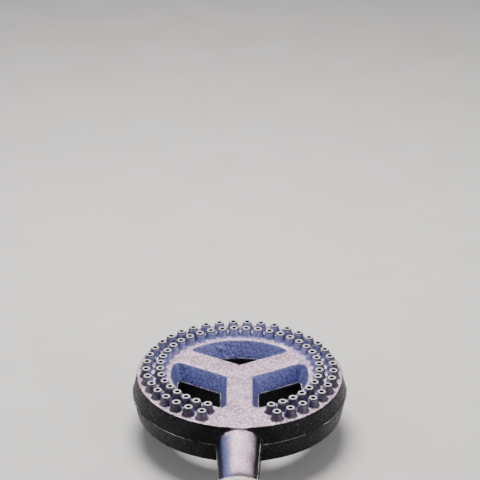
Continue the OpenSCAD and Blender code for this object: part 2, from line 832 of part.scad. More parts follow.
// Coil spring: a ring of points swept up a helix.
module plug_spring() {
    sides = 8;
    steps = 16 * spring_turns;
    wire_r = spring_wire_d / 2;
    coil_r = stub_d / 2 + wire_r + 0.5;
    climb = spring_h - spring_wire_d - 0.1;
    points = [for (i = [0 : steps], k = [0 : sides - 1])
        let (turn = 360 * spring_turns * i / steps, a = 360 * k / sides,
            r = coil_r + wire_r * cos(a))
        [r * cos(turn), r * sin(turn), climb * i / steps + wire_r * sin(a)]];
    walls = [for (i = [0 : steps - 1], k = [0 : sides - 1])
        let (a = i * sides + k, b = i * sides + (k + 1) % sides)
        [a, a + sides, b + sides, b]];
    ends = [[for (k = [0 : sides - 1]) k],
        [for (k = [sides - 1 : -1 : 0]) steps * sides + k]];
    color("#c2c2bf") place() translate([0, -plug_s, washer_z - spring_h + wire_r + 0.05])
        polyhedron(points, concat(walls, ends));
}

// ---------- lever ----------

// The arm lies over the inlet while the cock is open.
module lever() {
    color("#b9b9b6") place() translate([0, -plug_s, 0]) difference() {
        union() {
            translate([0, 0, lever_z]) cylinder(d = lever_hub_d, h = lever_hub_h);
            translate([-arm_w / 2, arm_w / 2 - lever_l, lever_top_z - arm_t])
                cube([arm_w, lever_l - arm_w / 2, arm_t]);
            translate([0, arm_w / 2 - lever_l, lever_top_z - arm_t])
                cylinder(d = arm_w, h = arm_t);
        }
        translate([0, 0, lever_z - cut])
            cylinder(d = stem_d + 2 * press_play, h = lever_hub_h + 2 * cut);
    }
}

module lever_grip() {
    r = grip_d / 2;
    tip = lever_l + grip_over;
    back = tip - grip_l;
    dome = 0.6 * r;
    color("#2b2b2d") place() translate([0, -plug_s, lever_top_z - arm_t / 2]) difference() {
        rotate([90, 0, 0]) rotate_extrude() polygon(concat([[0, back], [0.72 * r, back],
            [0.86 * r, back + 1.5], [r, back + 5]],
            [for (t = [0 : 15 : 90]) [r * cos(t), tip - dome + dome * sin(t)]]));
        play = press_play;
        translate([-arm_w / 2 - play, arm_w / 2 - lever_l, -arm_t / 2 - play])
            cube([arm_w + 2 * play, lever_l, arm_t + 2 * play]);
        translate([0, arm_w / 2 - lever_l, -arm_t / 2 - play])
            cylinder(d = arm_w + 2 * play, h = arm_t + 2 * play);
    }
}

module lever_screw() {
    color("#b9b9b6") place() translate([0, -plug_s, lever_top_z]) mirror([0, 0, 1])
        pan_screw(lever_screw_d, lever_screw_l);
}

// ---------- hose barb ----------

module hose_barb() {
    crest_r = barb_d / 2;
    root_r = crest_r - 1.1;
    bore_r = barb_bore_d / 2;
    hex_end = barb_hex_t;
    land = 1.5;
    color("#c9a35a") along_tube(barb_s) difference() {
        union() {
            translate([0, 0, 1 - barb_thread_l])
                cylinder(d = barb_thread_d, h = barb_thread_l);
            hexagon(barb_af, barb_hex_t);
            rotate_extrude() polygon(concat([[0, 0], [root_r, 0]],
                [for (i = [0 : barbs - 1], step = [0 : 2])
                    let (z = hex_end + 2 + i * barb_pitch)
                    [[root_r, z], [crest_r, z], [crest_r, z + land]][step]],
                [[root_r, hex_end + 2 + barbs * barb_pitch],
                    [root_r - 0.4, hex_end + 3 + barbs * barb_pitch],
                    [0, hex_end + 3 + barbs * barb_pitch]]));
        }
        translate([0, 0, -barb_thread_l - cut])
            cylinder(r = bore_r, h = barb_end_s - barb_s + barb_thread_l + 2 * cut);
    }
}

burner_head();
outer_jets();
inner_jets();
cover_gasket();
bottom_cover();
cover_screws();
rear_feet();
front_stand();
stand_screws();
air_plate();
air_plate_screws();
air_shutter();
shutter_spring();
lock_screw();
injector();
injector_nut();
outlet_seal();
cock_body();
cock_plug();
plug_washer();
plug_spring();
plug_nut();
lever();
lever_grip();
lever_screw();
inlet_seal();
hose_barb();
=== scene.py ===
# %% [markdown]
# # A cast gas ring burner
# The burner is one sand casting, a ring on three spokes with a mixing tube, that carries
# seventy-two turned jets. An air shutter and a gas cock are screwed to the mouth of its tube.
# The frame gives every solid at its real size and place. This lesson gives them the looks of
# cast iron, turned steel and brass, and models again what needs softer or finer shapes.

# %% Load the frame
import json
import math
import bmesh
import bpy
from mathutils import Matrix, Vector


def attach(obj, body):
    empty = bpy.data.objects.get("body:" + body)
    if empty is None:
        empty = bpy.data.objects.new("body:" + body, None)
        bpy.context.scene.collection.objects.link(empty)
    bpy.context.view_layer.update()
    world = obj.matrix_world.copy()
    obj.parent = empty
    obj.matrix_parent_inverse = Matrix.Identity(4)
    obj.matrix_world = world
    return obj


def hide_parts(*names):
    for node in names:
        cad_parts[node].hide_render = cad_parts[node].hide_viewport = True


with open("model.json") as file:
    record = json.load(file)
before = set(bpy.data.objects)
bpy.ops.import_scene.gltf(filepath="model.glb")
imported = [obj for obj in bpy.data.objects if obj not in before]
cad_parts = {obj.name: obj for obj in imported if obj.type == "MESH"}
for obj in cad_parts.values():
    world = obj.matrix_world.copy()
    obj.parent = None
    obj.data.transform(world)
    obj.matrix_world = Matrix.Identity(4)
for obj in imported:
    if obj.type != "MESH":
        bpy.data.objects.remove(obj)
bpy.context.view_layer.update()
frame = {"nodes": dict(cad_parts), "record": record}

# %% [markdown]
# ## The sizes of the head
# All sizes are in millimetres, as on the maker's drawing. X runs to the right, and Y is
# measured from the ring's axis, so that the tube runs towards minus Y. Z is the height above
# the bench. One function turns such a place into Blender's metres.

# %% Sizes of the head
RING_Y = 71.35           # from the frame's middle to the ring's axis
TOP_R, EDGE_R, UNDER_R = 66.1, 68.7, 66.3
WINDOW_R = 44.1
UNDER_Z, PART_Z, TOP_Z = 16.0, 29.4, 41.4
TUBE_Z = 27.2            # height of the mixing tube's axis
OUTER_ROW_R, INNER_ROW_R = 60.0, 51.1
JETS, PITCH, FIRST = 36, 9.0, 22.5


def place(x, y, z):
    return Vector((x, y + RING_Y, z)) / 1000


print("The head is", 2 * EDGE_R, "mm wide and", round(TOP_Z - UNDER_Z, 1), "mm high")

# %% [markdown]
# ## Small tools
# Operators act on whatever is selected, and the frame's solids arrive selected. So each step
# first clears the selection. Vertices, edges and faces are then picked by where they are.

# %% Tools for selecting and finishing
def only(*things):
    if bpy.context.object and bpy.context.object.mode != "OBJECT":
        bpy.ops.object.mode_set(mode="OBJECT")
    bpy.ops.object.select_all(action="DESELECT")
    for thing in things:
        thing.select_set(True)
        bpy.context.view_layer.objects.active = thing


def edit(piece):
    only(piece)
    bpy.ops.object.mode_set(mode="EDIT")
    bpy.ops.mesh.select_mode(type="VERT")
    bpy.ops.mesh.select_all(action="SELECT")


def pick(test, kind="VERT"):
    bpy.ops.mesh.select_all(action="DESELECT")
    bpy.ops.mesh.select_mode(type=kind)
    mesh = bmesh.from_edit_mesh(bpy.context.object.data)
    parts = {"VERT": mesh.verts, "EDGE": mesh.edges, "FACE": mesh.faces}[kind]
    for part in parts:
        corners = [part.co] if kind == "VERT" else [v.co for v in part.verts]
        part.select_set(all(test(1000 * c.x, 1000 * c.y - RING_Y, 1000 * c.z) for c in corners))
    mesh.select_flush_mode()
    bmesh.update_edit_mesh(bpy.context.object.data)


def started(name):
    """Names the primitive that was just added, and puts its place into its mesh."""
    piece = bpy.context.object
    piece.name = piece.data.name = name
    bpy.ops.object.transform_apply(location=True, rotation=True, scale=True)
    return piece


def finish_with(piece, kind, **settings):
    """Adds a modifier with its settings and applies it."""
    only(piece)
    step = piece.modifiers.new(kind.title(), kind)
    for key, value in settings.items():
        setattr(step, key, value)
    bpy.ops.object.modifier_apply(modifier=step.name)


def cut_away(piece, cutter):
    finish_with(piece, "BOOLEAN", operation="DIFFERENCE", solver="EXACT", object=cutter)
    bpy.data.objects.remove(cutter)


def joined(name, parts):
    only(*parts)
    bpy.ops.object.join()
    piece = bpy.context.object
    piece.name = piece.data.name = name
    return piece


def count(piece):
    piece.data.calc_loop_triangles()
    print(piece.name, "has", len(piece.data.loop_triangles), "triangles")


print("Tools ready")

# %% [markdown]
# ## The camera and the light
# The view looks down on the burner by 25 degrees, from in front of the tube's mouth, through
# a long lens. A broad lamp above and behind makes the flat top bright and leaves the side
# walls dark, and weak lamps from the sides keep their shapes readable.

# %% Camera, floor and lamps
bpy.ops.object.select_all(action="DESELECT")
FOCAL_PIXELS, PICTURE_PIXELS = 1650.66, 480
pitch, yaw, roll = 0.442816, -0.0006943, 0.0092294     # in radians
ahead = Vector((math.sin(yaw) * math.cos(pitch), math.cos(yaw) * math.cos(pitch),
                -math.sin(pitch)))
right = Vector((math.cos(yaw), -math.sin(yaw), 0))
above = right.cross(ahead)
camera_x = right * math.cos(roll) + above * math.sin(roll)
camera_y = above * math.cos(roll) - right * math.sin(roll)
bpy.ops.object.camera_add()
camera = bpy.context.object
camera.name = "camera"
for row in range(3):
    camera.matrix_world[row][:] = camera_x[row], camera_y[row], -ahead[row], 0
camera.matrix_world.translation = place(0, -922.0, 573.2)
camera.data.sensor_width = 36
camera.data.lens = camera.data.sensor_width * FOCAL_PIXELS / PICTURE_PIXELS
camera.data.clip_end = 20
bpy.context.scene.camera = camera

bpy.ops.mesh.primitive_plane_add(size=6, location=(0, 0, 0))
floor = started("floor")


def lamp(name, spot, aim, size, watts, tint):
    bpy.ops.object.light_add(type="AREA", location=place(*spot))
    light = bpy.context.object
    light.name = name
    light.rotation_euler = (place(*aim) - place(*spot)).to_track_quat("-Z", "Y").to_euler()
    light.data.shape = "DISK"
    light.data.size = size
    light.data.energy = watts
    light.data.color = tint


lamp("top_lamp", (-60, 260, 900), (0, 0, 30), 0.55, 16, (1.0, 0.98, 0.97))
lamp("left_lamp", (-900, -350, 500), (0, 0, 30), 0.8, 3, (0.97, 0.98, 1.0))
lamp("right_lamp", (900, -500, 450), (0, 0, 30), 0.8, 5, (1.0, 0.98, 0.96))
world = bpy.data.worlds.new("studio")
world.use_nodes = True
world.node_tree.nodes["Background"].inputs["Color"].default_value = (0.78, 0.8, 0.84, 1)
world.node_tree.nodes["Background"].inputs["Strength"].default_value = 0.35
bpy.context.scene.world = world
print("Lens of", round(camera.data.lens, 1), "mm, camera at",
      tuple(round(v, 3) for v in camera.location))

# %% [markdown]
# ## The disc of the head
# The head is a sand casting, made in two halves of a mould that meet at the parting line. Its
# outer wall leans in above and below that line, so that the pattern comes out of the sand. A
# cylinder gives the disc, bisected at the parting line, and its two rims are scaled in.

# %% Disc of the head
only()
bpy.ops.mesh.primitive_cylinder_add(vertices=144, radius=EDGE_R / 1000,
                                    depth=(TOP_Z - UNDER_Z) / 1000,
                                    location=place(0, 0, (TOP_Z + UNDER_Z) / 2))
head = started("head_casting")
edit(head)
bpy.ops.mesh.bisect(plane_co=place(0, 0, PART_Z), plane_no=(0, 0, 1))
for rim_z, rim_r in ((TOP_Z, TOP_R), (UNDER_Z, UNDER_R)):
    pick(lambda x, y, z: abs(z - rim_z) < 0.01)
    share = rim_r / EDGE_R
    bpy.ops.transform.resize(value=(share, share, 1), center_override=place(0, 0, rim_z))
pick(lambda x, y, z: abs(z - UNDER_Z) < 0.01, "EDGE")
bpy.ops.mesh.bevel(offset=0.0016, segments=3)
only(head)
count(head)

# %% [markdown]
# ## The windows between the spokes
# Three windows let air up to the inner flames, and what is left between them are the spokes.
# Their walls lean out from the parting line, both up and down. Each cutter is the hull round
# its three rounded corners and the arc of its outer wall, drawn at two heights.

# %% Cutters for the windows
def corner(a1, a2, w1, w2, fillet):
    """Middle of a round corner that touches the two walls beside the rays a1 and a2."""
    a1, a2 = math.radians(a1), math.radians(a2)
    n1, n2 = (-math.sin(a1), math.cos(a1)), (math.sin(a2), -math.cos(a2))
    det = n1[0] * n2[1] - n1[1] * n2[0]
    d1, d2 = w1 + fillet, w2 + fillet
    return (d1 * n2[1] - d2 * n1[1]) / det, (n1[0] * d2 - n2[0] * d1) / det


def window_cutter(a1, a2, w1, w2, fillet, levels):
    only()
    bpy.ops.mesh.primitive_circle_add(vertices=6, radius=0.0001,
                                      location=place(*corner(a1, a2, w1, w2, 9), levels[0][0]))
    cutter = started("cutter")
    edit(cutter)
    for z, inset in levels:
        hub, outer = max(HUB_FILLET - inset, 0.3), max(fillet - inset, 0.3)
        reach = WINDOW_R - inset - outer
        first = math.radians(a1) + math.asin((w1 + inset + outer) / reach)
        last = math.radians(a2) - math.asin((w2 + inset + outer) / reach)
        rounds = [(*corner(a1, a2, w1 + inset, w2 + inset, hub), hub)]
        rounds += [(reach * math.cos(a), reach * math.sin(a), outer) for a in (first, last)]
        for x, y, r in rounds:
            bpy.ops.mesh.primitive_circle_add(vertices=24, radius=r / 1000,
                                              location=place(x, y, z))
        for step in range(25):
            a = first + (last - first) * step / 24
            bpy.ops.mesh.primitive_circle_add(
                vertices=3, radius=0.00002,
                location=place(*[(WINDOW_R - inset) * f(a) for f in (math.cos, math.sin)], z))
    bpy.ops.mesh.select_all(action="SELECT")
    bpy.ops.mesh.convex_hull()
    only(cutter)
    return cutter


HUB_FILLET = 2.4         # of the corner nearest the ring's axis, at the top
PARTED, UNDER = 3.8, 0.4  # how far the walls stand in at the parting line and underneath
rise = PARTED / (TOP_Z - PART_Z)
fall = (PARTED - UNDER) / (PART_Z - UNDER_Z)
windows = [(-90, 30, 8.3, 7.8, 3.5), (150, 270, 7.8, 8.3, 3.5), (30, 150, 9.4, 9.4, 2.6)]
outlines = []
for window in windows:
    upper = window_cutter(*window, [(PART_Z, PARTED), (TOP_Z + 1, -rise)])
    lower = window_cutter(*window, [(PART_Z, PARTED), (UNDER_Z - 1, UNDER - fall)])
    line = upper.copy()
    line.data = upper.data.copy()
    bpy.context.collection.objects.link(line)
    outlines.append(line)
    cut_away(head, upper)
    cut_away(head, lower)
count(head)

# %% [markdown]
# ## The recess for the bottom cover
# The gas channel under the jets is closed from below by a cover plate on a gasket, which lie
# in a recess of the ring and the spokes. Only the mouth of that recess can be seen, so it is
# cut four millimetres deep: first the ring, then the three bars.

# %% Recess in the underside
SEAT_Z = 20.0
LIP = 2.7                # rim of casting that stays round the cover
low, high = UNDER_Z - 1, SEAT_Z + 0.05


def block(name, x0, x1, y0, y1, z0, z1, turn=0):
    """A cuboid beside the ring's axis, turned about that axis by `turn` degrees."""
    only()
    a = math.radians(turn)
    x, y = (x0 + x1) / 2, (y0 + y1) / 2
    bpy.ops.mesh.primitive_cube_add(
        size=1, location=place(x * math.cos(a) - y * math.sin(a),
                               x * math.sin(a) + y * math.cos(a), (z0 + z1) / 2),
        rotation=(0, 0, a), scale=((x1 - x0) / 1000, (y1 - y0) / 1000, (z1 - z0) / 1000))
    return started(name)


def disc(name, r, z0, z1):
    only()
    bpy.ops.mesh.primitive_cylinder_add(vertices=96, radius=r / 1000, depth=(z1 - z0) / 1000,
                                        location=place(0, 0, (z0 + z1) / 2))
    return started(name)


ring = disc("ring_recess", TOP_R - LIP, low, high)
cut_away(ring, disc("middle", WINDOW_R + LIP, low - 1, high + 1))
cut_away(ring, block("notch", -15.55, 15.55, -70, -43.5, low - 1, high + 1))
cut_away(head, ring)
for turn, left, far in ((-90, -5.6, 43.5), (30, -5.1, 55), (150, -6.7, 55)):
    width = 11.2 if turn == -90 else 11.8
    cut_away(head, block("bar", 0, far, left, left + width, low, high, turn))
count(head)

# %% [markdown]
# ## The mixing tube
# Gas and air mix in a tube that narrows to a throat and opens again in a bell with a flange.
# Its wall is drawn as one closed outline beside the tube's axis, point by point, and spun
# round that axis. The same tool then makes every turned piece of this lesson. Where the tube
# enters the head its top is a little flat, so that it passes just under the head's edge.

# %% A tool for turned shapes, and the tube
def drawn(name, spots):
    """A line through the given spots, left open for editing."""
    only()
    bpy.ops.mesh.primitive_plane_add(size=0.001, location=spots[0])
    piece = started(name)
    edit(piece)
    bpy.ops.mesh.merge(type="CENTER")
    for here, there in zip(spots, spots[1:]):
        bpy.ops.mesh.extrude_vertices_move(TRANSFORM_OT_translate={"value": there - here})
    return piece


def turned(name, outline, centre, axis, steps):
    """Spins an outline of (radius, distance along the axis) round an axis through `centre`.
    The outline runs anticlockwise, and ends on the axis unless it is closed."""
    axis = Vector(axis)
    side = Vector((1, 0, 0)) if abs(axis.x) < 0.5 else Vector((0, 0, 1))
    piece = drawn(name, [place(*centre) + (side * r + axis * along) / 1000
                         for r, along in outline])
    bpy.ops.mesh.select_all(action="SELECT")
    if outline[0][0] > 0:
        ends = bmesh.from_edit_mesh(piece.data)
        ends.verts.ensure_lookup_table()
        bpy.ops.mesh.select_all(action="DESELECT")
        for v in ends.verts:
            v.select_set(len(v.link_edges) == 1)
        bpy.ops.mesh.edge_face_add()
        bpy.ops.mesh.select_all(action="SELECT")
    bpy.ops.mesh.spin(steps=steps, angle=2 * math.pi, center=place(*centre), axis=axis)
    bpy.ops.mesh.select_all(action="SELECT")
    bpy.ops.mesh.remove_doubles(threshold=0.000001)
    bpy.ops.mesh.normals_make_consistent(inside=False)
    only(piece)
    return piece


# distances along the tube are from the ring's axis
ROOT, THROAT, BELL = 66.1, 112.1, 21.0         # where it narrows, where it opens, and the bell
TUBE_R, BORE_R = 14.05, 10.15                  # at the head
THROAT_R, THROAT_BORE_R, FLARE = 11.5, 8.3, 10.2
INSIDE = 50.1                                  # the tube's end within the head


def bell(r, angles):
    return [(r + FLARE * (1 - math.cos(math.radians(t))),
             THROAT + BELL * math.sin(math.radians(t))) for t in angles]


tube_wall = [(BORE_R, INSIDE), (TUBE_R, INSIDE), (TUBE_R, ROOT)]
tube_wall += bell(THROAT_R, range(0, 91, 10))
tube_wall += [(23.5, 133.6), (23.5, 136.6), (18.9, 136.6), (18.9, 133.1)]
tube_wall += bell(THROAT_BORE_R, range(80, -1, -10)) + [(BORE_R, ROOT)]
tube = turned("tube", tube_wall, (0, 0, TUBE_Z), (0, -1, 0), 72)
edit(tube)
pick(lambda x, y, z: y > -67 and z > TUBE_Z)
bpy.ops.transform.resize(value=(1, 1, 0.94), center_override=place(0, 0, TUBE_Z))
lug = block("lug", -7, 7, -114.1, -92.1, 12, TUBE_Z - 10)
count(tube)

# %% [markdown]
# The flange is turned true after casting, so it is a piece of its own with crisp edges. It
# covers the rougher flange of the casting by half a millimetre.

# %% Turned rim of the flange
flange = turned("flange_rim", [(18.5, 133.1), (23.6, 133.1), (24, 133.5), (24, 136.7),
                               (23.6, 137.1), (18.5, 137.1)], (0, 0, TUBE_Z), (0, -1, 0), 96)
bpy.ops.object.shade_smooth_by_angle(angle=math.radians(50))
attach(flange, "burner")
count(flange)

# %% [markdown]
# ## One casting
# In the sand all this is one piece of iron with soft corners and a slightly uneven skin. The
# parts are joined and remeshed into one skin, which also rounds every corner, and two gentle
# displacements leave it as uneven as a real casting: 0.15 mm in waves of 9 mm, and less in
# waves of 2.5 mm. The mould leaves small flaws too: lumps by the tube's root and on the rear
# window's wall, two in each place.

# %% Head, tube and lug as one skin
lumps = []
for spot, size in (((14.9, -66.2, 28.2), (1.3, 1.2, 1.9)), ((14.2, -66.6, 25.9), (0.9, 0.9, 1.5)),
                   ((-13.0, 40.5, 36.8), (1.7, 1.1, 1.1)), ((-11.4, 41.0, 35.6), (1.1, 0.9, 0.8))):
    only()
    bpy.ops.mesh.primitive_ico_sphere_add(subdivisions=2, radius=1, location=place(*spot),
                                          scale=[s / 1000 for s in size])
    lumps.append(started("lump"))
head = joined("head_casting", [tube, lug] + lumps + [head])


def clouds(name, size):
    pattern = bpy.data.textures.new(name, "CLOUDS")
    pattern.noise_scale = size / 1000
    pattern.noise_depth = 2
    return pattern


finish_with(head, "REMESH", mode="VOXEL", voxel_size=0.00088)
finish_with(head, "SMOOTH", factor=0.5, iterations=2)
finish_with(head, "DISPLACE", texture=clouds("sand_waves", 9), texture_coords="LOCAL",
            strength=0.0003, mid_level=0.5)
finish_with(head, "DISPLACE", texture=clouds("sand_lumps", 2.5), texture_coords="LOCAL",
            strength=0.00016, mid_level=0.5)
only(head)
bpy.ops.object.shade_smooth()
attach(head, "burner")
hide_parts("burner_head")
count(head)

# %% [markdown]
# ## The parting line
# Iron creeps between the two halves of a mould and leaves a thin ragged fin, which is ground
# off and never quite goes. The fin runs round the head, round each window and along both
# sides of the tube. Each line becomes a curve with a thin round section, and clouds push it in
# and out, so that it is broken where they push it under the casting's skin.

# %% Fins along the parting line
def fin(name, loop, thickness, ragged=0.9):
    only(loop)
    bpy.ops.object.convert(target="CURVE")
    loop.data.bevel_depth = thickness / 1000
    loop.data.bevel_resolution = 1
    loop.data.use_fill_caps = True
    bpy.ops.object.convert(target="MESH")
    edit(loop)
    bpy.ops.mesh.remove_doubles(threshold=0.000002)
    only(loop)
    loop.name = loop.data.name = name
    finish_with(loop, "DISPLACE", texture=clouds(name + "_rag", 3.5), texture_coords="LOCAL",
                strength=ragged / 1000, mid_level=0.5)
    only(loop)
    bpy.ops.object.shade_smooth()
    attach(loop, "burner")
    count(loop)
    return loop


fins = []
for number, loop in enumerate(outlines):
    edit(loop)
    bpy.ops.mesh.bisect(plane_co=place(0, 0, PART_Z + 0.15), plane_no=(0, 0, 1),
                        clear_inner=True, clear_outer=True)
    fins.append(fin("window_fin_%d" % (number + 1), loop, 0.45))
only()
bpy.ops.mesh.primitive_circle_add(vertices=240, radius=(EDGE_R - 0.1) / 1000,
                                  location=place(0, 0, PART_Z))
loop = started("edge_fin")
edit(loop)
bpy.ops.transform.rotate(value=0.012, orient_axis="Y", center_override=place(0, 0, PART_Z))
fins.append(fin("edge_fin", loop, 0.5))
for side, lift in (("right", 20), ("left", 4)):
    line = []
    for s in range(69, 130):
        t = math.asin(max(0, s - THROAT) / BELL)
        narrowed = min(s - ROOT, THROAT - ROOT) / (THROAT - ROOT)
        r = TUBE_R - (TUBE_R - THROAT_R) * narrowed + FLARE * (1 - math.cos(t)) - 0.1
        a = math.radians(lift if side == "right" else 180 - lift)
        line.append(place(r * math.cos(a), -s, TUBE_Z + r * math.sin(a)))
    fins.append(fin("tube_fin_" + side, drawn("line", line), 0.34, 0.5))

# %% [markdown]
# ## The cast bosses
# Each jet stands on a conical boss of the casting, with a small fillet at its foot. One boss
# is turned as a closed shape with a hole down its middle, and copied round both rows.

# %% Two rows of bosses
def row_of(name, model, r):
    """Copies a model that stands at the ring's axis to every place of a row."""
    copies = []
    for i in range(JETS):
        copy = model.copy()
        copy.data = model.data.copy()
        bpy.context.collection.objects.link(copy)
        a = math.radians(FIRST + PITCH * i)
        copy.location = (r * math.sin(a) / 1000, -r * math.cos(a) / 1000, 0)
        copies.append(copy)
    row = joined(name, copies)
    bpy.ops.object.transform_apply(location=True, rotation=True, scale=True)
    return row


boss_outline = [(1.85, TOP_Z - 0.6), (4.7, TOP_Z - 0.6), (4.45, TOP_Z + 0.1), (4.0, TOP_Z + 0.35),
                (3.78, TOP_Z + 0.9), (3.4, TOP_Z + 2.4), (3.0, TOP_Z + 4.3),
                (2.85, TOP_Z + 4.7), (2.55, TOP_Z + 4.82), (1.85, TOP_Z + 4.82)]
boss = turned("boss", boss_outline, (0, 0, 0), (0, 0, 1), 20)
rows = []
for name, r in (("outer_bosses", OUTER_ROW_R), ("inner_bosses", INNER_ROW_R)):
    row = row_of(name, boss, r)
    finish_with(row, "DISPLACE", texture=clouds(name + "_skin", 2.2), texture_coords="LOCAL",
                strength=0.00035, mid_level=0.5)
    only(row)
    bpy.ops.object.shade_smooth()
    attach(row, "burner")
    rows.append(row)
    count(row)
bpy.data.objects.remove(boss)

# %% [markdown]
# ## The jets
# A turned steel tip is pressed into each boss. Its rim is faced on the lathe and stays bright,
# and the port below it is dark with soot and painted shade. The tip is turned with a bevel on both
# edges of its rim, and its port is a blind hole, because only its mouth is ever seen.

# %% Two rows of tips
RIM_Z = TOP_Z + 5.5
tip_outline = [(0, TOP_Z + 0.1), (2.1, TOP_Z + 0.1), (2.1, RIM_Z - 0.7), (2.65, RIM_Z - 0.7),
               (2.65, RIM_Z - 0.18), (2.5, RIM_Z), (1.62, RIM_Z), (1.45, RIM_Z - 0.15),
               (1.45, TOP_Z + 0.6), (0, TOP_Z + 0.6)]
tip = turned("tip", tip_outline, (0, 0, 0), (0, 0, 1), 24)
for name, r in (("outer", OUTER_ROW_R), ("inner", INNER_ROW_R)):
    row = row_of(name + "_tips", tip, r)
    bpy.ops.object.shade_smooth_by_angle(angle=math.radians(35))
    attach(row, "burner")
    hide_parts(name + "_jets")
    rows.append(row)
    count(row)
bpy.data.objects.remove(tip)

# %% [markdown]
# ## Colours and nodes
# Colours are picked as hex values, as a maker matches a finish, and one function turns
# them to the linear values that the shader wants. Another adds one node with its settings and
# links, so that each material below reads as a short recipe.

# %% Tools for materials
def colour(code):
    """An sRGB hex colour as linear red, green, blue and alpha."""
    parts = [int(code[i:i + 2], 16) / 255 for i in (1, 3, 5)]
    return [c / 12.92 if c < 0.04045 else ((c + 0.055) / 1.055) ** 2.4 for c in parts] + [1]


def add(nodes, kind, feed=None, stops=None, **settings):
    """Adds a node. `feed` gives its inputs numbers or links, and `stops` a ramp's colours."""
    new = nodes.new("ShaderNode" + kind)
    for key, value in settings.items():
        setattr(new, key, value)
    for key, value in (feed or {}).items():
        if isinstance(value, bpy.types.NodeSocket):
            new.id_data.links.new(value, new.inputs[key])
        else:
            new.inputs[key].default_value = value
    if stops:
        ramp = new.color_ramp.elements
        while len(ramp) < len(stops):
            ramp.new(0.5)
        for element, (spot, code) in zip(ramp, stops):
            element.position, element.color = spot, colour(code)
    return new


def material(name):
    """An empty material: its nodes, its shader, and the object's own coordinates."""
    new = bpy.data.materials.new(name)
    new.use_nodes = True
    nodes = new.node_tree.nodes
    return new, nodes, nodes["Principled BSDF"], add(nodes, "TexCoord")


def per_mm(size):
    """The scale of a pattern whose features are `size` millimetres apart."""
    return 1000 / size


def grows(nodes, value, start, end):
    """A mask that goes from 0 to 1 while `value` goes from `start` to `end` millimetres."""
    return add(nodes, "MapRange", {"Value": value, "From Min": start / 1000,
                                   "From Max": end / 1000}).outputs["Result"]


def times(nodes, first, *others):
    for other in others:
        first = add(nodes, "Math", {0: first, 1: other}, operation="MULTIPLY").outputs["Value"]
    return first


def dress(finish, *pieces):
    for piece in pieces:
        piece.data.materials.clear()
        piece.data.materials.append(finish)
    print(finish.name, "on", ", ".join(piece.name for piece in pieces))


print("One millimetre grain has a scale of", per_mm(1))
